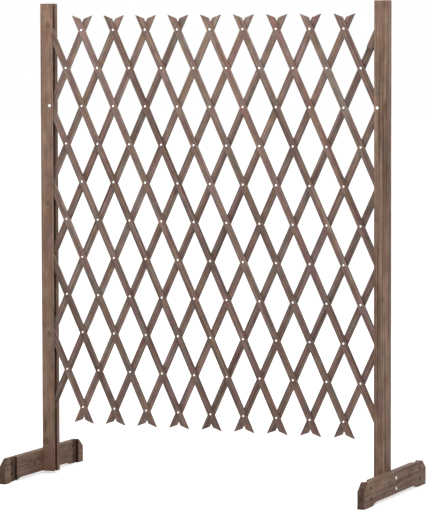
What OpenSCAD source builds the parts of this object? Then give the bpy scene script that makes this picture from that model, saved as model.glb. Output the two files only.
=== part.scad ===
// Free-standing expanding plant trellis: a riveted scissor lattice of thin slats
// whose ends run in the grooves of two upright posts, each post on a long foot board.
// X runs across the panel, Y from front to back, Z up from the floor.

/* [Lattice] */
// Distance between neighbouring rivets along a slat
link = 123; // [112:1:128]
// Angle of the slats from upright
lean = 24.9; // [14:0.1:40]
// Width of a slat
slat_w = 20; // [16:0.5:23]
// Thickness of a slat
slat_t = 6; // [4:0.5:7]
// Length from the top rivet to the tip of a free upper slat end
tail_up = 52; // [40:1:56]
// Length from the bottom rivet to the tip of a free lower slat end
tail_down = 58; // [40:1:60]
// Length of the offcut that packs out the lone slat end at the right post
offcut_l = 62; // [40:1:66]

/* [Rivets] */
// Diameter of a rivet's shank
rivet_d = 4; // [3:0.5:5]
// Diameter of a rivet's heads
rivet_head_d = 6.5; // [5.5:0.5:9]
// Height of a rivet's front head
rivet_head_h = 1.5; // [1:0.1:2]
// Thickness of a rivet's rear head
rivet_tail_h = 1.2; // [0.8:0.1:2]

/* [Posts] */
// Height of the posts' tops above the floor
frame_h = 1400; // [1380:5:1500]
// Width of a post across the panel
post_w = 40; // [36:1:56]
// Depth of a post from front to back
post_d = 34; // [32:1:50]
// Thickness of the post's wall in front of the groove
lip_t = 4; // [3:0.5:6]
// Distance from the groove's mouth to the line of the end pivots
pivot_in = 10; // [8:0.5:12]
// Distance from a post's top down to its pivot screw
pivot_drop = 302; // [295:1:330]
// Bevel along a post's edges
post_bevel = 1.5; // [0.5:0.5:3]

/* [Feet] */
// Length of a foot board from front to back
foot_l = 500; // [400:10:700]
// Height of a foot board
foot_h = 72; // [64:1:100]
// Thickness of a foot board
foot_t = 21; // [18:1:30]
// Length of the slant across a foot's upper corners
ear_l = 28; // [10:1:40]
// Height of the slant across a foot's upper corners
ear_h = 23; // [10:1:36]
// Height of the arch under a foot
arch_h = 8; // [6:1:16]
// Length of the flat pad at each end of a foot
pad_l = 66; // [50:1:90]
// Radius of the arch's corners
arch_r = 85; // [40:1:120]
// Width of the upright dado near each end of a foot
dado_w = 40; // [20:1:50]
// Depth of a dado
dado_d = 8; // [4:0.5:12]
// Distance from a foot's end to the middle of its dado
dado_in = 52; // [46:1:70]
// Diameter of the fixing holes in the dadoes
hole_d = 7; // [4:0.5:9]

/* [Fasteners] */
// Height of the lower fixing hole and of the lower foot screw
low_z = 23; // [21:1:26]
// Distance between the upper and lower of them
rise_z = 30; // [24:1:34]
// Diameter of the shank of the screws that hold a foot to its post
screw_d = 4; // [3:0.5:5]
// Diameter of a foot screw's head
screw_head_d = 9; // [7:0.5:12]
// Height of a foot screw's head
screw_head_h = 2.5; // [1.5:0.5:4]
// Diameter of the shank of a pivot screw
pivot_d = 5; // [4:0.5:6]
// Diameter of a pivot screw's head
pivot_head_d = 9; // [8:0.5:12]
// Height of a pivot screw's head
pivot_head_h = 2.5; // [1.5:0.5:4]

/* [Fits] */
// Gap between the front and the rear layer of slats
layer_gap = 0.5; // [0.3:0.1:1]
// Gap between the slats and the groove's walls
groove_play = 1; // [0.3:0.1:1.5]
// Radial clearance of a pin in a slat that turns on it
run_fit = 0.08; // [0.04:0.01:0.1]
// Gap between a rivet's rear head and the slat behind
head_gap = 0.3; // [0.2:0.1:0.5]

/* [Hidden] */
$fn = 48;
// Rivet columns between the posts, and rows of rivets
cols = 10;
rows = 11;
// Row whose ends are screwed to the posts
pivot_row = 3;
// Numbers of the slats in a layer: slat i crosses the top row at column i
first_slat = -4;
last_slat = 9;
// Slat that carries the offcut, in its own layer's numbers
packed_slat = 0;
// Clear space between a slat's round end and the groove's floor
end_clear = 4;
// Wood left beyond the tips of the screws
tip_wood = 4;
// Overshoot of a cutting shape past the face that it opens
cut = 1;
// Share of a head's radius that stays flat on top
head_flat = 0.55;
// Share of a head's height where its slope begins
head_shoulder = 0.4;

// Half of a column, height of a row and where the pivots lie
half_col = link * sin(lean);
row_h = link * cos(lean);
pivot_x = cols * half_col;
pivot_z = frame_h - pivot_drop;
// Post and groove
groove_d = pivot_in + slat_w / 2 + end_clear;
groove_w = 2 * slat_t + layer_gap + 2 * groove_play;
post_in = pivot_x - pivot_in;
post_out = post_in + post_w;
// Front face of the posts, and the layers behind it
post_y = -post_d / 2;
groove_y = post_y + lip_t;
front_y = groove_y + groove_play;
mid_y = front_y + slat_t;
rear_y = mid_y + layer_gap;
back_y = rear_y + slat_t;
// Screw lengths that end inside the wood
screw_l = foot_t + post_w - groove_d - tip_wood;
pivot_l = post_d - tip_wood;

// Where column c and row r meet
function col_x(c) = (2 * c - cols) * half_col;
function row_z(r) = pivot_z + (pivot_row - r) * row_h;
// Rows where slat i begins and ends, and its column at a row
function first_row(i) = max(1, 1 - 2 * i);
function last_row(i) = min(rows, 1 + 2 * (cols - i));
function col_at(i, r) = i + (r - 1) / 2;
function in_field(c) = c > 0 && c < cols;
function is_pivot(c, r) = !in_field(c) && r == pivot_row;
function two_digits(n) = str(n < 10 ? "0" : "", n);

// Draws its children as they are on the left, or mirrored on the right
module on_side(right) {
    mirror([right ? 1 : 0, 0, 0]) children();
}

// Round-headed pin along +Z: the head's top is at z = 0 and the shank's tip at z = head_h + l
module headed_pin(d, l, head_d, head_h) {
    rotate_extrude()
        polygon([
            [0, 0],
            [head_flat * head_d / 2, 0],
            [head_d / 2, (1 - head_shoulder) * head_h],
            [head_d / 2, head_h],
            [d / 2, head_h],
            [d / 2, head_h + l],
            [0, head_h + l]
        ]);
}

// Lays a shape drawn along +Z so that it runs from front to back
module front_to_back(x, y, z) {
    translate([x, y, z]) rotate([-90, 0, 0]) children();
}

// Cross-section of the left post, with its groove open towards the lattice
module post_section() {
    b = post_bevel;
    difference() {
        polygon([
            [-post_out + b, post_y], [-post_in, post_y],
            [-post_in, -post_y], [-post_out + b, -post_y],
            [-post_out, -post_y - b], [-post_out, post_y + b]
        ]);
        translate([-post_in - groove_d, groove_y]) square([groove_d + cut, groove_w]);
    }
}

// Places of the two foot screws and of each pair of fixing holes, as heights
screw_zs = [low_z, low_z + rise_z];

module post(right) {
    color([0.50, 0.41, 0.36]) on_side(right) difference() {
        translate([0, 0, arch_h]) linear_extrude(frame_h - arch_h) post_section();
        front_to_back(-pivot_x, post_y - cut, pivot_z) cylinder(d = pivot_d, h = cut + pivot_l);
        for (z = screw_zs)
            translate([-post_out - cut, 0, z]) rotate([0, 90, 0])
                cylinder(d = screw_d, h = cut + screw_l - foot_t);
    }
}

// Side outline of a foot: slanted upper corners above, flat pads and an arch below
module foot_outline() {
    h = foot_l / 2;
    arch_y = h - pad_l - sqrt(2 * arch_r * arch_h - arch_h * arch_h);
    difference() {
        polygon([
            [-h, 0], [h, 0], [h, foot_h - ear_h], [h - ear_l, foot_h],
            [-h + ear_l, foot_h], [-h, foot_h - ear_h]
        ]);
        translate([-arch_y, -cut]) square([2 * arch_y, cut + arch_h]);
        for (s = [-1, 1])
            translate([s * arch_y, arch_h - arch_r]) circle(arch_r, $fn = 96);
    }
}

module foot(right) {
    dado_y = foot_l / 2 - dado_in;
    color([0.43, 0.35, 0.30]) on_side(right) difference() {
        translate([-post_out - foot_t, 0, 0]) rotate([90, 0, 90]) linear_extrude(foot_t) foot_outline();
        for (s = [-1, 1])
            translate([-post_out - dado_d, s * dado_y - dado_w / 2, -cut])
                cube([dado_d + cut, dado_w, foot_h + 2 * cut]);
        for (s = [-1, 1], z = screw_zs)
            translate([-post_out - foot_t - cut, s * dado_y, z]) rotate([0, 90, 0])
                cylinder(d = hole_d, h = foot_t + 2 * cut);
        for (z = screw_zs)
            translate([-post_out - foot_t - cut, 0, z]) rotate([0, 90, 0])
                cylinder(d = screw_d, h = foot_t + 2 * cut);
    }
}

module foot_screws(right) {
    color([0.82, 0.80, 0.76]) on_side(right) for (z = screw_zs)
        translate([-post_out - foot_t - screw_head_h, 0, z]) rotate([0, 90, 0])
            headed_pin(screw_d, screw_l, screw_head_d, screw_head_h);
}

module pivot_screw(right) {
    color([0.82, 0.80, 0.76]) on_side(right)
        front_to_back(-pivot_x, post_y - pivot_head_h, pivot_z)
            headed_pin(pivot_d, pivot_l, pivot_head_d, pivot_head_h);
}

// Flat shape of slat i along +X from its first pivot: ends in a groove are round,
// free ends are cut on a slant to a point on the outer edge
module slat_outline(i) {
    w = slat_w / 2;
    l = link * (last_row(i) - first_row(i));
    starts_in_groove = !in_field(col_at(i, first_row(i)));
    ends_in_groove = !in_field(col_at(i, last_row(i)));
    polygon([
        [starts_in_groove ? 0 : -tail_up, -w],
        [ends_in_groove ? l : l + tail_down - slat_w, -w],
        [ends_in_groove ? l : l + tail_down, w],
        [starts_in_groove ? 0 : slat_w - tail_up, w]
    ]);
    if (starts_in_groove) circle(w);
    if (ends_in_groove) translate([l, 0]) circle(w);
}

// Slat i leaning from upper left to lower right, with its back at y and holes for its pins
module slat(i, y, rivet_r) {
    r0 = first_row(i);
    translate([col_x(col_at(i, r0)), y, row_z(r0)]) rotate([90, 0, 0]) linear_extrude(slat_t)
        rotate(lean - 90) difference() {
            slat_outline(i);
            for (r = [r0 : last_row(i)]) {
                c = col_at(i, r);
                if (in_field(c)) translate([link * (r - r0), 0]) circle(rivet_r);
                if (is_pivot(c, r)) translate([link * (r - r0), 0]) circle(pivot_d / 2 + run_fit);
            }
        }
}

// Front layer, numbered from the left
module slat_front(n) {
    color([0.53, 0.43, 0.37]) slat(first_slat + n - 1, mid_y, rivet_d / 2);
}

// Rear layer, numbered from the left, leaning the other way
module slat_rear(n) {
    color([0.47, 0.37, 0.32]) mirror([1, 0, 0]) slat(last_slat - n + 1, back_y, rivet_d / 2 + run_fit);
}

// Rivets through front slat n and the rear slats that it crosses
module rivets(n) {
    i = first_slat + n - 1;
    shank = back_y + head_gap - front_y;
    color([0.85, 0.84, 0.81]) for (r = [first_row(i) : last_row(i)])
        if (in_field(col_at(i, r)))
            front_to_back(col_x(col_at(i, r)), front_y - rivet_head_h, row_z(r)) {
                headed_pin(rivet_d, shank, rivet_head_d, rivet_head_h);
                translate([0, 0, rivet_head_h + shank]) cylinder(d = rivet_head_d, h = rivet_tail_h);
            }
}

// Short piece of slat that fills the groove in front of the rear slat at the top of the right post
module slat_offcut() {
    r0 = first_row(packed_slat);
    color([0.55, 0.44, 0.38]) mirror([1, 0, 0])
        translate([col_x(col_at(packed_slat, r0)), rear_y, row_z(r0)])
            rotate([90, 0, 0]) linear_extrude(slat_t) rotate(lean - 90) {
                translate([0, -slat_w / 2]) square([offcut_l, slat_w]);
                circle(slat_w / 2);
            }
}

post(false);  // post_left
post(true);  // post_right
foot(false);  // foot_left
foot(true);  // foot_right
foot_screws(false);  // foot_screws_left
foot_screws(true);  // foot_screws_right
pivot_screw(false);  // pivot_screw_left
pivot_screw(true);  // pivot_screw_right
for (n = [1 : last_slat - first_slat + 1]) {
    slat_front(n);
    slat_rear(n);
    rivets(n);
}
slat_offcut();
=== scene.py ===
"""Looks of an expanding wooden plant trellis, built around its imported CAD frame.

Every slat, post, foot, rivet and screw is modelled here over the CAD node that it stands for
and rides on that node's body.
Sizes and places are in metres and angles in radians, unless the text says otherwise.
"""

import logging
import math
import random
from contextlib import contextmanager
from dataclasses import dataclass
from enum import Enum
from typing import Callable, Dict, Iterator, List, Optional, Sequence, Set, Tuple, Union

import bpy
from mathutils import Matrix, Vector


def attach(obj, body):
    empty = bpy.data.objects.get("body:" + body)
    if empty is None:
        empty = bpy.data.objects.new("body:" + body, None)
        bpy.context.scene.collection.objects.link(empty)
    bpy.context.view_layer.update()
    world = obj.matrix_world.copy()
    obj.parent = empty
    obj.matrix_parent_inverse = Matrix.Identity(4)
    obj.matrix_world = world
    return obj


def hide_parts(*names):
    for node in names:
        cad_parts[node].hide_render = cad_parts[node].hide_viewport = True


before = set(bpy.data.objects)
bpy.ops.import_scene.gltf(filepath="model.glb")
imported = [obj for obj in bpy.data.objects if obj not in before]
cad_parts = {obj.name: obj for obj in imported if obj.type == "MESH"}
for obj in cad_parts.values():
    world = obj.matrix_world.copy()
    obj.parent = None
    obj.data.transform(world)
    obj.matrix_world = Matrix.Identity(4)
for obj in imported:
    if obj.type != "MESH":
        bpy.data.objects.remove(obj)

log = logging.getLogger("trellis")

Piece = bpy.types.Object
Material = bpy.types.Material
Colour = Tuple[float, float, float]
Tone = Tuple[float, float, float]
Spot = Tuple[float, float, float]
SocketValue = Union["Signal", float, Sequence[float]]
RecessTest = Callable[[Vector], bool]

MM = 0.001
WHITE = (1.0, 1.0, 1.0, 1.0)

# Points nearer than this are in the same plane, and corners nearer than this are merged
NEAR = 0.01 * MM
WELD = 0.5 * MM

# How far round a hole or recess its own faces are looked for
SLACK = 0.5 * MM
RIM = 0.2 * MM

# Sides of round things
RIVET_SIDES = 20
SHANK_SIDES = 16
SCREW_SIDES = 32
HOLE_SIDES = 28
ARCH_SIDES = 96

# Steps of rounded edges
SOFT_STEPS = 2
CORNER_STEPS = 3
RIVET_STEPS = 4
SCREW_STEPS = 5
END_STEPS = 6

# Edges sharper than these are rounded, and stay sharp in the shading of wood and of metal
SOFT_ANGLE = math.radians(30.0)
WOOD_ANGLE = math.radians(35.0)
METAL_ANGLE = math.radians(40.0)

# Share of a head's height that its domed top takes
DOME = 0.8

# A face gets a worn strip if its area over half its girth is more than this many strips
WIDE_FACE = 2.5


class Layer(Enum):
    """The two layers of slats; the value is the sign of the way that they lean."""

    FRONT = 1
    REAR = -1


class Side(Enum):
    """The two ends of the panel; the value is the sign of X there."""

    LEFT = -1
    RIGHT = 1


class EndCut(Enum):
    """How a slat ends."""

    SLANT = "slant"
    ROUND = "round"
    SQUARE = "square"


class Axis(Enum):
    """An axis of the frame; the value is its index."""

    X = 0
    Y = 1
    Z = 2

    @property
    def way(self) -> Vector:
        """The unit vector along the axis."""
        return Vector([float(axis is self) for axis in Axis])


class Blend(Enum):
    """How a colour goes over another; the value is Blender's word for it."""

    MIX = "MIX"
    COLOUR = "COLOR"
    MULTIPLY = "MULTIPLY"


class Picked(Enum):
    """What is selected when a piece opens in edit mode; the value is Blender's action."""

    ALL = "SELECT"
    NONE = "DESELECT"
    KEPT = None


class Stored(Enum):
    """How a mesh attribute is stored: its data type, the field of its data and its domain."""

    POINT_VECTOR = ("FLOAT_VECTOR", "vector", "POINT")
    POINT_NUMBER = ("FLOAT", "value", "POINT")
    FACE_NUMBER = ("FLOAT", "value", "FACE")


# Shader helpers


class Signal:
    """One shader value: a socket that Python operators extend with Math nodes."""

    def __init__(self, tree: "ShaderTree", socket: Optional[bpy.types.NodeSocket]) -> None:
        """Wraps an output socket of a tree."""
        self.tree = tree
        self.socket = socket

    def _math(self, operation: str, *values: SocketValue) -> "Signal":
        """Returns what a Math node makes of its inputs."""
        return self.tree.add("ShaderNodeMath", {"operation": operation}, dict(enumerate(values)))

    def __add__(self, other: SocketValue) -> "Signal":
        """Returns the sum."""
        return self._math("ADD", self, other)

    def __sub__(self, other: SocketValue) -> "Signal":
        """Returns the difference."""
        return self._math("SUBTRACT", self, other)

    def __rsub__(self, other: float) -> "Signal":
        """Returns a number less this value."""
        return self._math("SUBTRACT", other, self)

    def __mul__(self, other: SocketValue) -> "Signal":
        """Returns the product."""
        return self._math("MULTIPLY", self, other)

    def __neg__(self) -> "Signal":
        """Returns this value with the other sign."""
        return self._math("MULTIPLY", self, -1.0)

    def __pow__(self, power: float) -> "Signal":
        """Returns this value to a power."""
        return self._math("POWER", self, power)

    __radd__ = __add__
    __rmul__ = __mul__

    def sine(self) -> "Signal":
        """Returns the sine of this value."""
        return self._math("SINE", self)

    def band(self, low: float, high: float) -> "Signal":
        """Returns this value mapped smoothly from low..high to 0..1."""
        sockets = {"Value": self, "From Min": low, "From Max": high}
        return self.tree.add("ShaderNodeMapRange", {"interpolation_type": "SMOOTHSTEP"}, sockets)

    def stretch(self, reach: float) -> "Signal":
        """Returns this value mapped smoothly from -reach..reach to -0.5..0.5."""
        return self.band(-reach, reach) - 0.5


class ShaderTree:
    """A node tree under construction."""

    def __init__(self, owner: Union[Material, bpy.types.World]) -> None:
        """Empties the node tree of a material or a world and keeps it.

        Args:
            owner: the material or the world.
        """
        owner.use_nodes = True
        self.tree = owner.node_tree
        self.tree.nodes.clear()

    def add(
        self,
        kind: str,
        settings: Dict[str, object],
        sockets: Dict[Union[str, int], SocketValue],
        out: Union[str, int] = 0,
    ) -> Signal:
        """Adds a node of any type.

        Args:
            kind: the node's type name.
            settings: attributes to set on the node.
            sockets: values or signals for its inputs, by name or index.
            out: the output wanted, by name or index.

        Returns:
            The wanted output.
        """
        node = self.tree.nodes.new(kind)
        for name, value in settings.items():
            setattr(node, name, value)
        for key, value in sockets.items():
            if isinstance(value, Signal):
                self.tree.links.new(value.socket, node.inputs[key])
            else:
                node.inputs[key].default_value = value
        return Signal(self, node.outputs[out] if len(node.outputs) else None)

    def place(self) -> Signal:
        """Returns the object's own coordinates."""
        return self.add("ShaderNodeTexCoord", {}, {}, "Object")

    def attribute(self, name: str, out: str) -> Signal:
        """Returns a mesh attribute as Vector or Fac."""
        return self.add("ShaderNodeAttribute", {"attribute_name": name}, {}, out)

    def parts(self, vector: Signal) -> List[Signal]:
        """Returns the three components of a vector."""
        return [self.add("ShaderNodeSeparateXYZ", {}, {0: vector}, axis.name) for axis in Axis]

    def vector(self, operation: str, *values: SocketValue) -> Signal:
        """Returns what a Vector Math node makes of its inputs."""
        out = "Value" if operation == "LENGTH" else "Vector"
        return self.add(
            "ShaderNodeVectorMath", {"operation": operation}, dict(enumerate(values)), out
        )

    def noise(
        self,
        vector: Signal,
        factors: Sequence[float],
        detail: float = 3.0,
        roughness: float = 0.6,
        distortion: float = 0.0,
    ) -> Signal:
        """Adds noise around 0.

        Args:
            vector: the coordinates.
            factors: features in a metre along each axis.
            detail: how many octaves it has.
            roughness: how strong the small octaves are.
            distortion: how far it is bent by itself.

        Returns:
            The noise, from about -0.5 to 0.5.
        """
        sockets = {
            "Vector": self.vector("MULTIPLY", vector, factors),
            "Scale": 1.0,
            "Detail": detail,
            "Roughness": roughness,
            "Distortion": distortion,
        }
        return self.add("ShaderNodeTexNoise", {}, sockets) - 0.5

    def mix(
        self,
        factor: SocketValue,
        first: SocketValue,
        second: SocketValue,
        blend: Blend = Blend.MIX,
    ) -> Signal:
        """Returns the first colour with a share of the second blended in."""
        settings = {"data_type": "RGBA", "blend_type": blend.value, "clamp_factor": True}
        return self.add("ShaderNodeMix", settings, {0: factor, 6: first, 7: second}, 2)

    def in_view(self) -> Signal:
        """Tells what is seen from what only lights the scene.

        Returns:
            1 for rays from the camera, off gloss or through glass, and 0 for others.
        """
        kinds = ("Is Camera Ray", "Is Glossy Ray", "Is Transmission Ray")
        camera, gloss, through = [self.add("ShaderNodeLightPath", {}, {}, kind) for kind in kinds]
        return camera + gloss + through

    def surface(
        self,
        colour: Signal,
        rough: Signal,
        relief: Signal,
        strength: float,
        depth: float,
        constants: Dict[str, float],
    ) -> None:
        """Adds the surface with its relief, and the output.

        Args:
            colour: its colour.
            rough: its roughness.
            relief: height of its relief, in shares of the depth.
            strength: how much of the relief shows.
            depth: depth of the relief.
            constants: its other inputs, by name.
        """
        sockets = {"Strength": strength, "Distance": depth, "Height": relief}
        normal = self.add("ShaderNodeBump", {}, sockets, "Normal")
        sockets = {"Base Color": colour, "Roughness": rough, "Normal": normal, **constants}
        surface = self.add("ShaderNodeBsdfPrincipled", {}, sockets)
        self.add("ShaderNodeOutputMaterial", {}, {"Surface": surface})


def rgba(colour: Colour) -> Tuple[float, float, float, float]:
    """Returns a colour with full opacity."""
    return (*colour, 1.0)


# Finishes


@dataclass(frozen=True)
class Knot:
    """A knot in a board.

    Attributes:
        spot: its middle.
        size: its half sizes along X, Y and Z, longest along the grain.
    """

    spot: Spot
    size: Spot

    def far(self, tree: ShaderTree, place: Signal) -> Signal:
        """Returns the distance from the knot's middle, in shares of its half sizes."""
        shift = tree.vector("SUBTRACT", place, self.spot)
        return tree.vector("LENGTH", tree.vector("DIVIDE", shift, self.size))


@dataclass(frozen=True)
class WoodFinish:
    """Stained softwood whose grain follows the piece's own attributes.

    Attributes:
        name: the material's name.
        dark: colour of the latewood lines and streaks.
        light: colour of the plain wood.
        red: colour that the stain leans to where it is reddish.
        grey: colour that the stain leans to where it is greyish.
        knots: the large knots, round which the grain bends.
        hole_shade_rims: dark spots painted round the holes as shade, alike at both sides and ends.
        line: width of the fine grain lines.
        ring: distance between growth rings.
        wander: how far the pith wanders along the piece.
        blotch: length and width of the stain's patches.
        pale: share of the light colour in plain wood.
        streak_depth: how much streaks change that share.
        line_depth: the same of the fine lines.
        ring_depth: the same of the growth rings.
        fibre_depth: the same of the fibres.
        least_figure: share of the figure that the plainest piece keeps.
        lean: how much of the red or grey the stain takes.
        cool: how far patches of the stain lean to violet or yellow.
        cloud_depth: how much lighter or darker patches of the stain are.
        pin_dark: share of the dark colour in pin knots.
        knot_dark: the same of the large knots.
        rim_painted_shade: the same of the rims.
        recess_painted_shade: share of the dark colour painted into grooves, dadoes and holes as
            shade.
        foot_shade: how much darker, as painted shade, the wood is at the floor than at the top.
        full_height: height over which that shade fades.
        floor_band: height up to which the wood is painted darker, as shade near the floor, and
            redder.
        end_shade: brightness of the end grain.
        wear: how much lighter worn edges are.
        roughness: mean roughness.
        gloss: specular level.
        bump: depth of the grain.
        bump_share: how much of that depth shows.
    """

    name: str
    dark: Colour
    light: Colour
    red: Colour
    grey: Colour
    knots: Tuple[Knot, ...] = ()
    hole_shade_rims: Tuple[Knot, ...] = ()
    line: float = 4.5 * MM
    ring: float = 6.5 * MM
    wander: float = 16.0 * MM
    blotch: Tuple[float, float] = (60.0 * MM, 15.0 * MM)
    pale: float = 0.58
    streak_depth: float = 0.42
    line_depth: float = 0.55
    ring_depth: float = 0.2
    fibre_depth: float = 0.25
    least_figure: float = 0.25
    lean: float = 0.85
    cool: float = 0.5
    cloud_depth: float = 1.25
    pin_dark: float = 0.75
    knot_dark: float = 0.6
    # rim_painted_shade: share of the dark colour painted round the holes as shade.
    rim_painted_shade: float = 0.9
    recess_painted_shade: float = 0.75
    foot_shade: float = 0.02
    full_height: float = 1.4
    floor_band: float = 10.0 * MM
    end_shade: float = 0.62
    wear: float = 0.16
    roughness: float = 0.66
    gloss: float = 0.18
    bump: float = 0.35 * MM
    bump_share: float = 0.55

    def material(self) -> Material:
        """Builds the material.

        Returns:
            The material.
        """
        made = bpy.data.materials.new(self.name)
        tree = ShaderTree(made)
        place = tree.place()
        end, edge, recess = [tree.attribute(name, "Fac") for name in ("end", "edge", "recess")]
        value, hue, figure = tree.parts(tree.attribute("tone", "Vector"))
        grain, spots = self._knots(tree, place)

        # The figure, from streaks to pores, and the stain's patches
        streak = self._along(tree, grain, 3.0 * self.line, 0.45)
        lines = self._along(tree, grain, self.line, 0.6)
        tint = self._along(tree, grain, 1.7 * self.line, 0.35)
        fibre = self._along(tree, grain, 1.0 * MM, 0.04)
        pores = tree.noise(grain, (700.0, 700.0, 700.0), detail=2.0)
        rings = self._rings(tree, grain)
        pins = self._pin_knots(tree, grain)
        long, wide = self.blotch
        patch = tree.noise(grain, (1.0 / long, 1.0 / wide, 1.0 / wide), roughness=0.55)
        cloud = tree.noise(grain, (-1.4 / long, 0.7 / wide, 0.7 / wide))
        chill = tree.noise(grain, (0.5 / long, -0.8 / wide, 0.8 / wide), roughness=0.55)

        # Colour: the figure, what the stain leans to, then knots, and painted shade round holes
        # and in recesses
        drawn = self.streak_depth * streak.stretch(0.16) + self.line_depth * lines.stretch(0.14)
        drawn = drawn - self.ring_depth * (rings - 0.35)
        shown = (self.least_figure + (1.0 - self.least_figure) * figure) * drawn
        share = self.pale + shown + self.fibre_depth * fibre
        colour = tree.mix(share, rgba(self.dark), rgba(self.light))
        rise = tree.parts(place)[Axis.Z.value]
        # Near the floor the wood is painted darker, as shade, and leans to red
        low = 1.0 - rise.band(0.3 * self.floor_band, self.floor_band)
        lean = 0.2 * hue + 2.6 * patch + 1.3 * figure * tint + 0.8 * low
        for amount, stain in ((lean, self.red), (-lean, self.grey)):
            taken = self.lean * amount.band(0.0, 0.7)
            colour = tree.mix(taken, colour, rgba(stain), Blend.COLOUR)
        # Knots and the shade painted round the holes, then the shade painted into grooves, dadoes
        # and holes
        knots_and_rim_shade = sum(spots, self.pin_dark * pins)
        for amount in (knots_and_rim_shade, self.recess_painted_shade * recess):
            colour = tree.mix(amount, colour, rgba(self.dark))

        # Light and dark: the piece's own tone, the stain's clouds, painted shade near and towards
        # the floor, wear, and the end grain
        worn = edge * (1.0 + 1.2 * streak)
        shade = 1.0 + 0.1 * value + self.cloud_depth * cloud - 0.15 * low + self.wear * worn
        # Painted shade: darker towards the floor
        shade = shade * (1.0 - self.foot_shade * (1.0 - rise.band(0.0, self.full_height)))
        shade = shade * (1.0 - (1.0 - self.end_shade) * end * (1.0 + 0.4 * pores))
        blue = shade * (1.0 + self.cool * chill)
        shaded = tree.add("ShaderNodeCombineXYZ", {}, {0: shade, 1: shade, 2: blue})
        colour = tree.mix(1.0, colour, shaded, Blend.MULTIPLY)

        rough = self.roughness + 0.22 * fibre + 0.16 * patch - 0.06 * edge + 0.1 * end
        relief = 0.55 * fibre + 0.3 * lines - 0.25 * rings + 0.3 * end * pores - 0.4 * pins
        constants = {"Specular IOR Level": self.gloss}
        tree.surface(colour, rough, relief, self.bump_share, self.bump, constants)
        return made

    @staticmethod
    def _along(tree: ShaderTree, grain: Signal, width: float, length: float) -> Signal:
        """Returns noise whose features have a width across the grain and a length along it."""
        factors = (1.0 / length, 1.0 / width, 1.0 / width)
        return tree.noise(grain, factors, distortion=0.3)

    def _rings(self, tree: ShaderTree, grain: Signal) -> Signal:
        """Adds growth rings round a pith that lies off the piece and wanders along it.

        Args:
            tree: the material's tree.
            grain: coordinates with the grain along X.

        Returns:
            A value that is 1 on the latewood lines.
        """
        wander = 0.5 + tree.noise(grain, (2.2, 14.0, 14.0), detail=2.0, roughness=0.5)
        radius = tree.vector("LENGTH", tree.vector("MULTIPLY", grain, (0.0, 1.0, 1.0)))
        turns = (radius + self.wander * wander) * (2.0 * math.pi / self.ring)
        return (0.5 + 0.5 * turns.sine()) ** 2.2

    @staticmethod
    def _pin_knots(tree: ShaderTree, grain: Signal) -> Signal:
        """Adds a few small dark knots drawn out along the grain.

        Args:
            tree: the material's tree.
            grain: coordinates with the grain along X.

        Returns:
            A value that is 1 in a knot.
        """
        cells = tree.vector("MULTIPLY", grain, (3.1, 17.0, 17.0))
        sockets = {"Vector": cells, "Scale": 1.0, "Randomness": 1.0}
        distance = tree.add("ShaderNodeTexVoronoi", {}, sockets, "Distance")
        return 1.0 - distance.band(0.03, 0.10)

    def _knots(self, tree: ShaderTree, place: Signal) -> Tuple[Signal, List[Signal]]:
        """Bends the grain round the large knots, and finds the dark spots of the knots and of the
        shade painted round the holes.

        Args:
            tree: the material's tree.
            place: the object's own coordinates.

        Returns:
            Coordinates with the grain along X, and the share of dark colour in each spot: the
            knots, and the shade painted round the holes.
        """
        grain = tree.attribute("grain", "Vector")
        spots = []
        for knot in self.knots:
            far = knot.far(tree, place)
            spots.append(self.knot_dark * (1.0 - far.band(0.5, 1.1)))
            push = 0.5 * min(knot.size) * (1.0 - far.band(0.4, 3.0))
            aside = tree.add("ShaderNodeCombineXYZ", {}, {1: push, 2: push})
            grain = tree.vector("ADD", grain, aside)
        # Shade painted round the holes, mirrored to both sides and both ends
        if self.hole_shade_rims:
            folded = tree.vector("ABSOLUTE", place)
            fars = [rim.far(tree, folded) for rim in self.hole_shade_rims]
            spots.extend(self.rim_painted_shade * (1.0 - far.band(0.5, 1.1)) for far in fars)
        return grain, spots


@dataclass(frozen=True)
class MetalFinish:
    """Pale plated metal with fine handling marks.

    Attributes:
        name: the material's name.
        colour: colour of the plating.
        dull: colour of dulled patches.
        roughness: mean roughness.
        metallic: how metallic the surface is.
        mark: size of the marks.
        bump: depth of the marks.
        bump_share: how much of that depth shows.
    """

    name: str
    colour: Colour
    dull: Colour
    roughness: float = 0.38
    metallic: float = 0.55
    mark: float = 1.2 * MM
    bump: float = 0.05 * MM
    bump_share: float = 0.25

    def material(self) -> Material:
        """Builds the material.

        Returns:
            The material.
        """
        made = bpy.data.materials.new(self.name)
        tree = ShaderTree(made)
        place = tree.place()
        fine = 1.0 / self.mark
        patch = tree.noise(place, (fine, fine, fine))
        scratch = tree.noise(place, (0.2 * fine, 2.0 * fine, 5.0 * fine), roughness=0.7)
        colour = tree.mix(patch.band(-0.15, 0.3), rgba(self.colour), rgba(self.dull))
        rough = self.roughness + 0.3 * patch + 0.15 * scratch
        relief = 0.6 * scratch + 0.4 * patch
        constants = {"Metallic": self.metallic}
        tree.surface(colour, rough, relief, self.bump_share, self.bump, constants)
        return made


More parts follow.
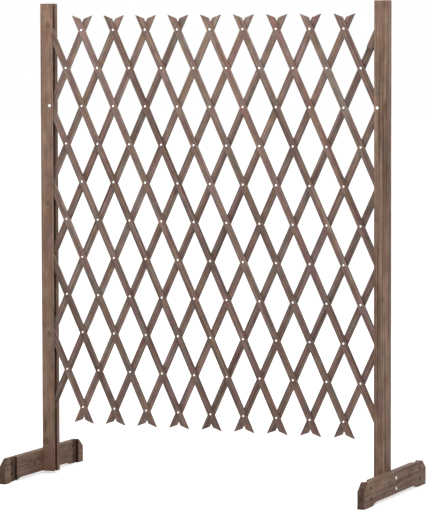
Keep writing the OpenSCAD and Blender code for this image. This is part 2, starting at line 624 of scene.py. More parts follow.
SLAT_WOOD = WoodFinish(
    "slat_wood",
    dark=(0.050, 0.030, 0.0235),
    light=(0.221, 0.145, 0.116),
    red=(0.209, 0.106, 0.0875),
    grey=(0.146, 0.122, 0.101),
    cool=0.65,
)
POST_WOOD = WoodFinish(
    "post_wood",
    dark=(0.066, 0.036, 0.024),
    light=(0.234, 0.147, 0.105),
    red=(0.228, 0.118, 0.082),
    grey=(0.165, 0.128, 0.096),
    knots=(
        Knot((-0.521, -0.017, 1.336), (0.008, 0.02, 0.013)),
        Knot((-0.526, -0.017, 0.809), (0.006, 0.02, 0.011)),
        Knot((-0.523, -0.017, 0.419), (0.007, 0.02, 0.012)),
        Knot((-0.536, -0.017, 0.097), (0.011, 0.02, 0.012)),
    ),
    floor_band=120.0 * MM,
)
FOOT_WOOD = WoodFinish(
    "foot_wood",
    dark=(0.052, 0.029, 0.018),
    light=(0.238, 0.144, 0.097),
    red=(0.215, 0.114, 0.078),
    grey=(0.160, 0.121, 0.088),
    knots=(
        Knot((-0.548, -0.067, 0.037), (0.02, 0.017, 0.010)),
        Knot((0.569, 0.112, 0.046), (0.02, 0.016, 0.009)),
    ),
    hole_shade_rims=(
        Knot((0.558, 0.198, 0.023), (0.03, 0.0075, 0.0075)),
        Knot((0.558, 0.198, 0.053), (0.03, 0.0075, 0.0075)),
    ),
    end_shade=0.5,
)
RIVET_METAL = MetalFinish("rivet_metal", (0.93, 0.92, 0.90), (0.80, 0.78, 0.75))
SCREW_METAL = MetalFinish("screw_metal", (0.95, 0.94, 0.92), (0.80, 0.78, 0.75), metallic=0.3)


# Modelling helpers


class Workbench:
    """Shared modelling steps, each done with Blender's own operators."""

    @staticmethod
    def pick(obj: Piece) -> None:
        """Makes one object the selected and active one.

        Args:
            obj: the object.
        """
        bpy.ops.object.select_all(action="DESELECT")
        obj.select_set(True)
        bpy.context.view_layer.objects.active = obj

    @classmethod
    @contextmanager
    def editing(cls, obj: Piece, picked: Picked = Picked.ALL) -> Iterator[None]:
        """Keeps a piece in edit mode for a while.

        Args:
            obj: the piece.
            picked: what of its mesh is selected at the start.

        Yields:
            Nothing.
        """
        cls.pick(obj)
        bpy.ops.object.mode_set(mode="EDIT")
        if picked is not Picked.KEPT:
            bpy.ops.mesh.select_all(action=picked.value)
        yield
        bpy.ops.object.mode_set(mode="OBJECT")

    @classmethod
    def new(cls, name: str, add: Callable[..., Set[str]], **settings: object) -> Piece:
        """Adds a primitive and moves its place, turn and scale into its mesh.

        Args:
            name: the new object's name.
            add: the operator that adds the primitive.
            settings: the operator's settings.

        Returns:
            The new object.
        """
        bpy.ops.object.select_all(action="DESELECT")
        add(**settings)
        obj = bpy.context.active_object
        obj.name = name
        cls.settle(obj)
        return obj

    @classmethod
    def box(cls, name: str, first: Sequence[float], last: Sequence[float]) -> Piece:
        """Adds a box.

        Args:
            name: the new object's name.
            first: one corner.
            last: the opposite corner.

        Returns:
            The box.
        """
        centre = [(a + b) / 2 for a, b in zip(first, last)]
        size = [abs(b - a) for a, b in zip(first, last)]
        add = bpy.ops.mesh.primitive_cube_add
        return cls.new(name, add, size=1.0, location=centre, scale=size)

    @classmethod
    def rod(
        cls, name: str, radius: float, start: Sequence[float], end: Sequence[float], sides: int
    ) -> Piece:
        """Adds a round rod between two points.

        Args:
            name: the new object's name.
            radius: its radius.
            start: centre of its first end.
            end: centre of its last end.
            sides: how many sides it has.

        Returns:
            The rod.
        """
        along = Vector(end) - Vector(start)
        return cls.new(
            name,
            bpy.ops.mesh.primitive_cylinder_add,
            vertices=sides,
            radius=radius,
            depth=along.length,
            location=(Vector(start) + Vector(end)) / 2,
            rotation=along.to_track_quat("Z", "Y").to_euler(),
        )

    @classmethod
    def settle(cls, obj: Piece) -> None:
        """Moves an object's place, turn and scale into its mesh."""
        cls.pick(obj)
        bpy.ops.object.transform_apply(location=True, rotation=True, scale=True)

    @classmethod
    def slice(cls, obj: Piece, point: Sequence[float], normal: Sequence[float]) -> None:
        """Cuts away what lies in front of a plane, given its normal, and closes the cut."""
        with cls.editing(obj):
            bpy.ops.mesh.bisect(plane_co=point, plane_no=normal, use_fill=True, clear_outer=True)

    @classmethod
    def bevel_edges(
        cls,
        obj: Piece,
        way: Vector,
        level: float,
        width: float,
        steps: int,
        along: Optional[Vector] = None,
    ) -> None:
        """Bevels the edges that lie in a plane.

        Args:
            obj: the piece.
            way: the plane's normal.
            level: the plane's distance from the origin along its normal.
            width: the bevel's width.
            steps: how many steps it has.
            along: the way that the wanted edges run, or None for all in the plane.
        """
        with cls.editing(obj, Picked.NONE):
            bpy.ops.mesh.select_mode(type="EDGE")
        points = [vertex.co for vertex in obj.data.vertices]
        for edge in obj.data.edges:
            a, b = [points[k] for k in edge.vertices]
            flat = all(abs(end.dot(way) - level) < NEAR for end in (a, b))
            edge.select = flat and (along is None or (b - a).cross(along).length < NEAR)
        with cls.editing(obj, Picked.KEPT):
            bpy.ops.mesh.bevel(offset=width, segments=steps, affect="EDGES", clamp_overlap=True)

    @classmethod
    def apply(cls, obj: Piece, kind: str, settings: Dict[str, object]) -> None:
        """Adds a modifier and applies it.

        Args:
            obj: the piece.
            kind: the modifier's type.
            settings: attributes to set on it.
        """
        cls.pick(obj)
        modifier = obj.modifiers.new(kind.lower(), kind)
        for name, value in settings.items():
            setattr(modifier, name, value)
        bpy.ops.object.modifier_apply(modifier=modifier.name)

    @classmethod
    def soften(cls, obj: Piece, width: float) -> None:
        """Rounds every sharp edge a little.

        Args:
            obj: the piece.
            width: the round's width.
        """
        with cls.editing(obj):
            bpy.ops.mesh.remove_doubles(threshold=WELD)
        limit = {"limit_method": "ANGLE", "angle_limit": SOFT_ANGLE}
        cls.apply(obj, "BEVEL", {"width": width, "segments": SOFT_STEPS, **limit})

    @classmethod
    def carve(cls, obj: Piece, cutter: Piece) -> None:
        """Cuts one solid out of another and removes the cutter."""
        cls.apply(obj, "BOOLEAN", {"operation": "DIFFERENCE", "solver": "EXACT", "object": cutter})
        bpy.data.objects.remove(cutter, do_unlink=True)

    @classmethod
    def frame_faces(cls, obj: Piece, margin: float) -> Set[int]:
        """Insets the wide faces, so that a strip along their edges can wear differently.

        Args:
            obj: the piece.
            margin: the strip's width.

        Returns:
            Indices of the vertices inside those strips.
        """
        with cls.editing(obj, Picked.NONE):
            bpy.ops.mesh.select_mode(type="FACE")
        points = [vertex.co for vertex in obj.data.vertices]
        for face in obj.data.polygons:
            loop = [points[k] for k in face.vertices]
            girth = sum((a - b).length for a, b in zip(loop, loop[1:] + loop[:1]))
            face.select = 2.0 * face.area / girth > WIDE_FACE * margin
        with cls.editing(obj, Picked.KEPT):
            bpy.ops.mesh.inset(thickness=margin, depth=0.0, use_boundary=True)
        return {k for face in obj.data.polygons if face.select for k in face.vertices}

    @classmethod
    def shade(cls, obj: Piece, angle: float) -> None:
        """Turns normals outward and smooths the edges that are blunter than an angle.

        Args:
            obj: the piece.
            angle: the angle.
        """
        with cls.editing(obj):
            bpy.ops.mesh.normals_make_consistent(inside=False)
        bpy.ops.object.shade_smooth_by_angle(angle=angle)

    @classmethod
    def join(cls, pieces: Sequence[Piece], name: str) -> Piece:
        """Joins pieces into one object.

        Args:
            pieces: the pieces, of which the first is kept.
            name: the joined object's name.

        Returns:
            The joined object.
        """
        cls.pick(pieces[0])
        for piece in pieces[1:]:
            piece.select_set(True)
        if len(pieces) > 1:
            bpy.ops.object.join()
        pieces[0].name = name
        return pieces[0]

    @staticmethod
    def copy(master: Piece, shift: Sequence[float]) -> Piece:
        """Copies a piece with a mesh of its own.

        Args:
            master: the piece to copy.
            shift: how far the copy's mesh is moved.

        Returns:
            The copy.
        """
        made = master.copy()
        made.data = master.data.copy()
        made.data.transform(Matrix.Translation(shift))
        bpy.context.scene.collection.objects.link(made)
        return made


@dataclass
class Timber:
    """Gives wooden pieces what their finish reads: grain, tone, end grain and worn edges.

    Attributes:
        soft_edge: width of the rounded edges.
        worn_strip: width of the worn strip along the edges.
        end_slope: how far a face's normal leans to the grain where it counts as end grain.
        seed: start of the pieces' random numbers.
        start: range of where a piece's grain begins.
        pith_near: range of the pith's distance on the first axis across the grain.
        pith_far: the same on the second axis.
        figure: range of the strength of a piece's figure.
    """

    soft_edge: float = 0.7 * MM
    worn_strip: float = 0.7 * MM
    end_slope: float = 0.6
    seed: int = 41000
    start: Tuple[float, float] = (0.0, 50.0)
    pith_near: Tuple[float, float] = (0.01, 0.05)
    pith_far: Tuple[float, float] = (-0.06, 0.06)
    figure: Tuple[float, float] = (0.4, 1.0)

    def finish(
        self,
        obj: Piece,
        along: Axis,
        number: int,
        tone: Optional[Tone] = None,
        recess: Optional[RecessTest] = None,
    ) -> None:
        """Rounds a piece's edges and stores its attributes.

        Args:
            obj: the piece, still in the place where its grain runs along an axis.
            along: the axis of its grain.
            number: the piece's own number, from which its tone and grain follow.
            tone: its brightness, redness and strength of figure, or None for chance.
            recess: says whether a point lies in a groove, dado or hole, where the material paints
                shade.
        """
        Workbench.soften(obj, self.soft_edge)
        inner = Workbench.frame_faces(obj, self.worn_strip)
        Workbench.shade(obj, WOOD_ANGLE)
        rng = random.Random(self.seed + number)
        offset = Vector([rng.uniform(*r) for r in (self.start, self.pith_near, self.pith_far)])
        chance = (rng.uniform(-1, 1), rng.uniform(-1, 1), rng.uniform(*self.figure))
        order = [along.value, *[axis.value for axis in Axis if axis is not along]]
        mesh = obj.data
        grain = [v.co[axis] + shift for v in mesh.vertices for axis, shift in zip(order, offset)]
        count = len(mesh.vertices)
        self._store(mesh, "grain", Stored.POINT_VECTOR, grain)
        self._store(mesh, "tone", Stored.POINT_VECTOR, list(tone or chance) * count)
        worn = [float(k not in inner) for k in range(count)]
        self._store(mesh, "edge", Stored.POINT_NUMBER, worn)
        faces = mesh.polygons
        across = [float(abs(face.normal[along.value]) > self.end_slope) for face in faces]
        self._store(mesh, "end", Stored.FACE_NUMBER, across)
        # Faces in a groove, dado or hole, which the material darkens as painted shade
        hidden = [float(recess is not None and recess(face.center)) for face in faces]
        self._store(mesh, "recess", Stored.FACE_NUMBER, hidden)

    @staticmethod
    def _store(
        mesh: bpy.types.Mesh, name: str, stored: Stored, values: Sequence[float]
    ) -> None:
        """Stores an attribute on a mesh.

        Args:
            mesh: the mesh.
            name: the attribute's name.
            stored: how it is stored.
            values: its values in one flat list.
        """
        kind, field, domain = stored.value
        mesh.attributes.new(name, kind, domain)
        mesh.attributes[name].data.foreach_set(field, values)


def dress(obj: Piece, material: Material, body: str, node: str) -> None:
    """Gives a piece its material and ties it to the frame.

    Args:
        obj: the piece.
        material: its material.
        body: the CAD body that it rides on.
        node: the CAD node that it stands for.
    """
    obj.data.materials.clear()
    obj.data.materials.append(material)
    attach(obj, body)
    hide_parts(node)
    log.info("%s is on %s and stands for %s", obj.name, body, node)


# The trellis


@dataclass(frozen=True)
class Grid:
    """The lattice's rivet grid in the front view.

    Attributes:
        link: distance between rivets along a slat.
        lean: angle of the slats from upright.
        cols: rivet columns between the posts.
        rows: rows of rivets.
        pivot_row: the row whose ends are screwed to the posts.
        pivot_z: height of that row.
    """

    link: float = 123.0 * MM
    lean: float = math.radians(24.9)
    cols: int = 10
    rows: int = 11
    pivot_row: int = 3
    pivot_z: float = 1098.0 * MM

    def x(self, col: float) -> float:
        """Returns a column's X."""
        return (2 * col - self.cols) * self.link * math.sin(self.lean)

    def z(self, row: int) -> float:
        """Returns a row's height."""
        return self.pivot_z + (self.pivot_row - row) * self.link * math.cos(self.lean)

    def first_row(self, slat: int) -> int:
        """Returns the row where a slat begins."""
        return max(1, 1 - 2 * slat)

    def last_row(self, slat: int) -> int:
        """Returns the row where a slat ends."""
        return min(self.rows, 1 + 2 * (self.cols - slat))

    def col_at(self, slat: int, row: int) -> float:
        """Returns a slat's column at a row."""
        return slat + (row - 1) / 2

    def in_field(self, col: float) -> bool:
        """Returns whether a column lies between the posts."""
        return 0 < col < self.cols


@dataclass
class Lattice:
    """The riveted slats of both layers.

    Attributes:
        grid: the rivet grid.
        timber: what prepares the wooden pieces.
        width: width of a slat.
        thickness: thickness of a slat.
        tail_up: distance from the top rivet to a free upper tip.
        tail_down: distance from the bottom rivet to a free lower tip.
        end_round: rounding of a slat's round ends, as a share of half its width.
        offcut: length of the packing offcut.
        front_y: Y of the front layer's front face.
        layer_gap: gap between the layers.
        first_slat: number of the first slat in a layer.
        last_slat: number of the last slat in a layer.
        packed_slat: rear slat that carries the offcut, counted from the left.
        rivet_r: radius of a rivet's shank.
        head_r: radius of a rivet's heads.
        head_h: height of a rivet's front head.
        tail_h: thickness of a rivet's rear head.
        tail_soft: width of the rear head's rounded edge.
        head_gap: gap in front of the rear head.
    """

    grid: Grid
    timber: Timber
    width: float = 20.0 * MM
    thickness: float = 6.0 * MM
    tail_up: float = 52.0 * MM
    tail_down: float = 58.0 * MM
    end_round: float = 0.98
    offcut: float = 62.0 * MM
    front_y: float = -12.0 * MM
    layer_gap: float = 0.5 * MM
    first_slat: int = -4
    last_slat: int = 9
    packed_slat: int = 10
    rivet_r: float = 2.0 * MM
    head_r: float = 3.25 * MM
    head_h: float = 1.5 * MM
    tail_h: float = 1.2 * MM
    tail_soft: float = 0.35 * MM
    head_gap: float = 0.3 * MM

    @property
    def rear_y(self) -> float:
        """Y of the rear layer's front face."""
        return self.front_y + self.thickness + self.layer_gap

    def build(self, wood: Material, metal: Material) -> None:
        """Builds all slats, the offcut and the rivets.

        Args:
            wood: the slats' material.
            metal: the rivets' material.
        """
        count = self.last_slat - self.first_slat + 1
        rivet = self._rivet()
        for n in range(1, count + 1):
            slat = self.first_slat + n - 1
            piece = self._slat(slat, Layer.FRONT, f"front_slat_{n:02d}", n)
            dress(piece, wood, f"front_{n:02d}", f"slat_front_{n:02d}")
            mirrored = self.last_slat - n + 1
            piece = self._slat(mirrored, Layer.REAR, f"rear_slat_{n:02d}", count + n)
            dress(piece, wood, f"rear_{n:02d}", f"slat_rear_{n:02d}")
            group = self._rivet_group(rivet, slat, f"rivet_group_{n:02d}")
            dress(group, metal, f"front_{n:02d}", f"rivets_{n:02d}")
        bpy.data.objects.remove(rivet, do_unlink=True)
        piece = self._strip("offcut", self.offcut, EndCut.ROUND, EndCut.SQUARE, Layer.REAR)
        spot = (self.grid.x(self.grid.cols), self.rear_y - self.thickness, self.grid.z(1))
        self._hang(piece, 2 * count + 1, Layer.REAR, spot)
        dress(piece, wood, f"rear_{self.packed_slat:02d}", "slat_offcut")

    def _slat(self, slat: int, layer: Layer, name: str, number: int) -> Piece:
        """Builds one slat.

        Args:
            slat: the slat's number in its layer.
            layer: the layer.
            name: the new object's name.
            number: the piece's own number for its grain.

        Returns:
            The slat.
        """
        grid = self.grid
        rows = (grid.first_row(slat), grid.last_row(slat))
        cols = [grid.col_at(slat, row) for row in rows]
        start, end = [EndCut.SLANT if grid.in_field(col) else EndCut.ROUND for col in cols]
        piece = self._strip(name, grid.link * (rows[1] - rows[0]), start, end, layer)
        front = self.front_y if layer is Layer.FRONT else self.rear_y
        spot = (layer.value * grid.x(cols[0]), front, grid.z(rows[0]))
        self._hang(piece, number, layer, spot)
        return piece

    def _strip(self, name: str, length: float, start: EndCut, end: EndCut, layer: Layer) -> Piece:
        """Builds a strip along X with its first pivot at the origin and its front at Y = 0.

        Args:
            name: the new object's name.
            length: distance between its end pivots, or to its square end.
            start: how it begins.
            end: how it ends.
            layer: the layer, which sets the side of the tips.

        Returns:
            The strip.
        """
        half = self.width / 2
        short = {EndCut.ROUND: half, EndCut.SQUARE: 0.0}
        low = -short.get(start, self.tail_up)
        high = length + short.get(end, self.tail_down)
        piece = Workbench.box(name, (low, 0.0, -half), (high, self.thickness, half))
        ends = ((start, low, -1), (end, high, 1))
        for cut, x, way in ends:
            if cut is EndCut.SLANT:
                tip = way * layer.value
                Workbench.slice(piece, (x, 0.0, tip * half), (way, 0.0, -tip))
        for cut, x, way in ends:
            if cut is EndCut.ROUND:
                width = self.end_round * half
                Workbench.bevel_edges(piece, Axis.X.way, x, width, END_STEPS, Axis.Y.way)
        return piece

    def _hang(self, piece: Piece, number: int, layer: Layer, spot: Spot) -> None:
        """Finishes a strip, leans it and moves it into place.

        Args:
            piece: the strip along X.
            number: the piece's own number for its grain.
            layer: the layer, which sets the way it leans.
            spot: where its first pivot's front end goes.
        """
        self.timber.finish(piece, Axis.X, number)
        piece.rotation_euler = (0.0, math.pi / 2 - layer.value * self.grid.lean, 0.0)
        piece.location = spot
        Workbench.settle(piece)

    def _rivet(self) -> Piece:
        """Builds a rivet about the Y axis, with the front slat's face at Y = 0.

        Returns:
            The rivet.
        """
        head = Workbench.rod("rivet", self.head_r, (0, 0, 0), (0, -self.head_h, 0), RIVET_SIDES)
        dome = DOME * self.head_h
        Workbench.bevel_edges(head, Axis.Y.way, -self.head_h, dome, RIVET_STEPS)
        back = 2 * self.thickness + self.layer_gap + self.head_gap
        shank = Workbench.rod("shank", self.rivet_r, (0, 0, 0), (0, back, 0), SHANK_SIDES)
        ends = (0, back, 0), (0, back + self.tail_h, 0)
        tail = Workbench.rod("tail", self.head_r, *ends, RIVET_SIDES)
        Workbench.soften(tail, self.tail_soft)
        made = Workbench.join([head, shank, tail], "rivet")
        Workbench.shade(made, METAL_ANGLE)
        return made

    def _rivet_group(self, rivet: Piece, slat: int, name: str) -> Piece:
        """Copies the rivet to every crossing of a front slat.

        Args:
            rivet: the rivet to copy.
            slat: the front slat's number.
            name: the group's name.

        Returns:
            The group as one object.
        """
        grid = self.grid
        copies = []
        for row in range(grid.first_row(slat), grid.last_row(slat) + 1):
            col = grid.col_at(slat, row)
            if grid.in_field(col):
                copies.append(Workbench.copy(rivet, (grid.x(col), self.front_y, grid.z(row))))
        return Workbench.join(copies, name)


@dataclass
class EndFrame:
    """A post with its foot board and screws, at one end of the panel.

    Attributes:
        grid: the rivet grid, which sets where the post stands.
        timber: what prepares the wooden pieces.
        side: the end of the panel.
        post_tone: the post's brightness, redness and strength of figure.
        foot_tone: the same of the foot.
        number: number from which the grain of this end's pieces follows.
        height: height of the post's top.
        post_w: width of the post across the panel.
        post_d: depth of the post from front to back.
        corner: rounding of the post's outer corners.
        pivot_in: distance from the groove's mouth to the pivots.
        lip: thickness of the wall in front of the groove.
        groove_w: width of the groove.
        groove_d: depth of the groove.
        foot_l: length of the foot.
        foot_h: height of the foot.
        foot_t: thickness of the foot.
        ear: length and height of the foot's slanted corners.
        arch_h: height of the arch under the foot.
        arch_r: radius of the arch's corners.
        pad_l: length of the foot's flat pads.
        dado: width and depth of the foot's dadoes.
        dado_in: distance from the foot's end to a dado's middle.
        hole_r: radius of the fixing holes.
        screw_z: heights of the lower and upper holes and screws.
        head_r: radius of a screw's head.
        head_h: height of a screw's head.
        cross: half length and half width of the head's cross recess, as shares of its radius.
        cross_d: depth of the cross recess, as a share of the head's height.
        shank_r: radius of a screw's shank.
        shank_l: length of a screw's shank.
    """

    grid: Grid
    timber: Timber
    side: Side
    post_tone: Tone
    foot_tone: Tone
    number: int
    height: float = 1400.0 * MM
    post_w: float = 40.0 * MM
    post_d: float = 34.0 * MM
    corner: float = 1.5 * MM
    pivot_in: float = 10.0 * MM
    lip: float = 4.0 * MM
    groove_w: float = 14.5 * MM
    groove_d: float = 24.0 * MM
    foot_l: float = 500.0 * MM
    foot_h: float = 72.0 * MM
    foot_t: float = 21.0 * MM
    ear: Tuple[float, float] = (28.0 * MM, 23.0 * MM)
    arch_h: float = 8.0 * MM
    arch_r: float = 85.0 * MM
    pad_l: float = 66.0 * MM
    dado: Tuple[float, float] = (40.0 * MM, 8.0 * MM)
    dado_in: float = 52.0 * MM
    hole_r: float = 3.5 * MM
    screw_z: Tuple[float, float] = (23.0 * MM, 53.0 * MM)
    head_r: float = 4.5 * MM
    head_h: float = 2.5 * MM
    cross: Tuple[float, float] = (0.42, 0.11)
    cross_d: float = 0.5
    shank_r: float = 2.0 * MM
    shank_l: float = 10.0 * MM

    @property
    def label(self) -> str:
        """The side's name."""
        return self.side.name.lower()

    @property
    def pivot_x(self) -> float:
        """X of the pivot screw."""
        return self.side.value * abs(self.grid.x(0))

    @property
    def inner(self) -> float:
        """X of the post's inner face."""
        return self.pivot_x - self.side.value * self.pivot_in

    @property
    def outer(self) -> float:
        """X of the post's outer face."""
        return self.inner + self.side.value * self.post_w

    @property
    def out_face(self) -> float:
        """X of the foot's outer face."""
        return self.outer + self.side.value * self.foot_t

    def build(self, post: Material, foot: Material, metal: Material) -> None:
        """Builds the post, foot and screws.

        Args:
            post: the post's material.
            foot: the foot's material.
            metal: the screws' material.
        """
        body = f"{self.label}_frame"
        piece = self._post(f"upright_{self.label}")
        dress(piece, post, body, f"post_{self.label}")
        piece = self._foot(f"base_{self.label}")
        dress(piece, foot, body, f"foot_{self.label}")
        low, high = self.screw_z
        way = self.side.value * Axis.X.way
        screw = self._screw("foot_screw", Vector((self.out_face, 0.0, low)), way)
        pair = [screw, Workbench.copy(screw, (0.0, 0.0, high - low))]
        piece = Workbench.join(pair, f"base_screws_{self.label}")
        dress(piece, metal, body, f"foot_screws_{self.label}")
        spot = Vector((self.pivot_x, -self.post_d / 2, self.grid.pivot_z))
        piece = self._screw(f"end_pivot_{self.label}", spot, -Axis.Y.way)
        dress(piece, metal, body, f"pivot_screw_{self.label}")

    def _post(self, name: str) -> Piece:
        """Builds the grooved post.

        Args:
            name: the new object's name.

        Returns:
            The post.
        """
        half, way = self.post_d / 2, self.side.value
        corners = (self.inner, -half, self.arch_h), (self.outer, half, self.height)
        piece = Workbench.box(name, *corners)
        front = -half + self.lip
        first = (self.inner - way * MM, front, 0.0)
        last = (self.inner + way * self.groove_d, front + self.groove_w, self.height + MM)
        Workbench.carve(piece, Workbench.box("groove", first, last))
        Workbench.bevel_edges(piece, Axis.X.way, self.outer, self.corner, CORNER_STEPS, Axis.Z.way)

        def recess(spot: Vector) -> bool:
            """Returns whether a point lies in the groove, where shade is painted."""
            deep = SLACK < way * (spot.x - self.inner) < self.groove_d + SLACK
            return deep and -MM < spot.y - front < self.groove_w + MM and spot.z < self.height - MM

        self.timber.finish(piece, Axis.Z, self.number, self.post_tone, recess)
        return piece

    def _foot(self, name: str) -> Piece:
        """Builds the foot board.

        Args:
            name: the new object's name.

        Returns:
            The foot board.
        """
        half = self.foot_l / 2
        corners = (self.outer, -half, 0.0), (self.out_face, half, self.foot_h)
        piece = Workbench.box(name, *corners)
        slope = Vector((0.0, self.ear[1], self.ear[0])).normalized()
        for way in (-1, 1):
            point = (0.0, way * half, self.foot_h - self.ear[1])
            Workbench.slice(piece, point, (0.0, way * slope.y, slope.z))
        out, inside = self.out_face + self.side.value * MM, self.outer - self.side.value * MM
        curve = math.sqrt(2 * self.arch_r * self.arch_h - self.arch_h**2)
        arch_y = half - self.pad_l - curve
        corners = (out, -arch_y, -MM), (inside, arch_y, self.arch_h)
        Workbench.carve(piece, Workbench.box("arch", *corners))
        dado_y, dado_half = half - self.dado_in, self.dado[0] / 2
        deep = self.outer + self.side.value * self.dado[1]
        holes = []
        for way in (-1, 1):
            at = (way * arch_y, self.arch_h - self.arch_r)
            rod = Workbench.rod("curve", self.arch_r, (out, *at), (inside, *at), ARCH_SIDES)
            Workbench.carve(piece, rod)
            y = way * dado_y
            corners = (deep, y - dado_half, -MM), (inside, y + dado_half, self.foot_h + MM)
            Workbench.carve(piece, Workbench.box("dado", *corners))
            for z in self.screw_z:
                ends = (out, y, z), (inside, y, z)
                holes.append(Workbench.rod("hole", self.hole_r, *ends, HOLE_SIDES))
        Workbench.carve(piece, Workbench.join(holes, "holes"))

        def recess(spot: Vector) -> bool:
            """Finds the dadoes and the fixing holes, where shade is painted.

            Args:
                spot: a point on the foot.

            Returns:
                Whether the point lies in one of them.
            """
            depth = self.side.value * (spot.x - self.outer)
            along = abs(abs(spot.y) - dado_y)
            near = min(math.hypot(along, spot.z - z) for z in self.screw_z)
            in_hole = near < self.hole_r + RIM and RIM < depth < self.foot_t - RIM
            in_dado = SLACK < depth < self.dado[1] + SLACK and along < dado_half + SLACK
            return in_dado or in_hole

        self.timber.finish(piece, Axis.Y, self.number + 1, self.foot_tone, recess)
        return piece

    def _screw(self, name: str, spot: Vector, way: Vector) -> Piece:
        """Builds a round-headed screw with a cross recess.

        Args:
            name: the new object's name.
            spot: centre of the head's underside.
            way: the way that the head faces.

        Returns:
            The screw.
        """
        top = spot + self.head_h * way
        head = Workbench.rod(name, self.head_r, spot, top, SCREW_SIDES)
        Workbench.bevel_edges(head, way, top.dot(way), DOME * self.head_h, SCREW_STEPS)
        long, thin = [share * self.head_r for share in self.cross]
        up = Axis.Z.way
        across = up.cross(way)
        for first, second in ((across, up), (up, across)):
            reach = long * first + thin * second + self.cross_d * self.head_h * way
            Workbench.carve(head, Workbench.box("recess", top - reach, top + reach))
        inside = spot - self.shank_l * way
        shank = Workbench.rod("shank", self.shank_r, spot, inside, SHANK_SIDES)
        made = Workbench.join([head, shank], name)
        Workbench.shade(made, METAL_ANGLE)
        return made


# The studio


@dataclass(frozen=True)
class Lamp:
    """A soft square lamp.

    Attributes:
        name: the lamp's name.
        at: its place.
        towards: the point that it faces.
        size: its side.
        power: its power in watts.
    """

    name: str
    at: Spot
    towards: Spot
    size: float
    power: float

    def build(self) -> None:
        """Adds the lamp to the scene."""
        light = bpy.data.lights.new(self.name, "AREA")
        light.size = self.size
        light.energy = self.power
        lamp = bpy.data.objects.new(self.name, light)
        bpy.context.scene.collection.objects.link(lamp)
        lamp.location = self.at
        aim = Vector(self.towards) - Vector(self.at)
        lamp.rotation_euler = aim.to_track_quat("-Z", "Y").to_euler()


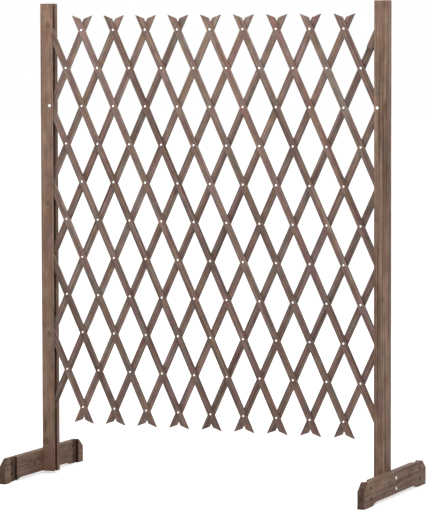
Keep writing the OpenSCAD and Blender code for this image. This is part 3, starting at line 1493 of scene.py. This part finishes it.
@dataclass
class Studio:
    """White studio: floor, soft light and the photograph's camera.

    Attributes:
        floor_size: side of the floor.
        ambient: brightness of the surrounding white where it lights the panel.
        paper: brightness of the floor.
        glow: what the floor adds to its brightness where it is seen.
        lamps: the lamps above, beside, before and behind the panel.
        camera_at: the camera's place.
        yaw: the camera's turn from the panel's front.
        pitch: its tilt downwards.
        roll: its roll.
        focal_px: its focal length in pixels of the image frame.
        axis_row: row of the image frame that the camera's axis meets, in pixels.
        frame_px: the image frame's width and height in pixels.
        sensor: the sensor's long side in millimetres.
        sight: how far the camera sees.
    """

    floor_size: float = 80.0
    ambient: float = 0.75
    paper: float = 0.76
    glow: float = 0.55
    lamps: Tuple[Lamp, ...] = (
        Lamp("key_light", (-0.25, -0.5, 1.8), (-0.1, -0.1, 1.0), 1.3, 12.5),
        Lamp("side_light", (1.35, -0.5, 2.0), (0.5, 0.0, 1.25), 0.9, 8.5),
        Lamp("front_light", (-0.8, -4.0, 1.4), (0.1, 0.0, 0.7), 3.0, 26.0),
        Lamp("back_light", (-1.2, 4.0, 1.6), (0.0, 0.0, 0.6), 3.0, 32.0),
    )
    camera_at: Spot = (3.2371, -7.2220, 1.2632)
    yaw: float = math.radians(24.116)
    pitch: float = math.radians(3.251)
    roll: float = math.radians(-0.141)
    focal_px: float = 2737.1
    axis_row: float = 205.0
    frame_px: Tuple[int, int] = (426, 512)
    sensor: float = 36.0
    sight: float = 200.0

    def build(self) -> None:
        """Builds the studio."""
        self._world()
        self._floor()
        for lamp in self.lamps:
            lamp.build()
        self._camera()
        bpy.context.scene.view_settings.view_transform = "Standard"

    def _world(self) -> None:
        """Surrounds the scene with white that is full white where it is seen."""
        world = bpy.data.worlds.new("studio")
        bpy.context.scene.world = world
        tree = ShaderTree(world)
        strength = self.ambient + (1.0 - self.ambient) * tree.in_view()
        white = tree.add("ShaderNodeBackground", {}, {"Color": WHITE, "Strength": strength})
        tree.add("ShaderNodeOutputWorld", {}, {"Surface": white})

    def _floor(self) -> None:
        """Lays a pale floor that keeps a faint shadow."""
        add = bpy.ops.mesh.primitive_plane_add
        floor = Workbench.new("floor", add, size=self.floor_size, location=(0.0, 0.0, 0.0))
        made = bpy.data.materials.new("floor_paper")
        tree = ShaderTree(made)
        paper = tree.add("ShaderNodeBsdfDiffuse", {}, {"Color": rgba((self.paper,) * 3)})
        strength = self.glow * tree.in_view()
        glow = tree.add("ShaderNodeEmission", {}, {"Color": WHITE, "Strength": strength})
        surface = tree.add("ShaderNodeAddShader", {}, {0: paper, 1: glow})
        tree.add("ShaderNodeOutputMaterial", {}, {"Surface": surface})
        floor.data.materials.append(made)

    def _camera(self) -> None:
        """Sets the camera as it stood for the photograph."""
        lens = bpy.data.cameras.new("photo_camera")
        lens.sensor_width = self.sensor
        lens.lens = self.focal_px * self.sensor / max(self.frame_px)
        lens.shift_y = (self.axis_row - self.frame_px[1] / 2) / max(self.frame_px)
        lens.clip_end = self.sight
        camera = bpy.data.objects.new("photo_camera", lens)
        bpy.context.scene.collection.objects.link(camera)
        stand = Matrix.Translation(self.camera_at) @ Matrix.Rotation(self.yaw, 4, "Z")
        tilt = Matrix.Rotation(math.pi / 2 - self.pitch, 4, "X")
        camera.matrix_world = stand @ tilt @ Matrix.Rotation(self.roll, 4, "Z")
        bpy.context.scene.camera = camera


def main() -> None:
    """Builds the trellis and the studio."""
    logging.basicConfig(level=logging.INFO)
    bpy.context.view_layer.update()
    finishes = (SLAT_WOOD, POST_WOOD, FOOT_WOOD, RIVET_METAL, SCREW_METAL)
    slat, post, foot, rivet, screw = [finish.material() for finish in finishes]
    grid, timber = Grid(), Timber()
    Lattice(grid, timber).build(slat, rivet)
    ends = (
        EndFrame(grid, timber, Side.LEFT, (0.35, 0.2, 0.25), (0.0, -0.1, 0.6), number=101),
        EndFrame(grid, timber, Side.RIGHT, (0.0, 0.1, 1.2), (-0.5, 0.0, 0.9), number=801),
    )
    for end in ends:
        end.build(post, foot, screw)
    Studio().build()


if __name__ == "__main__":
    main()
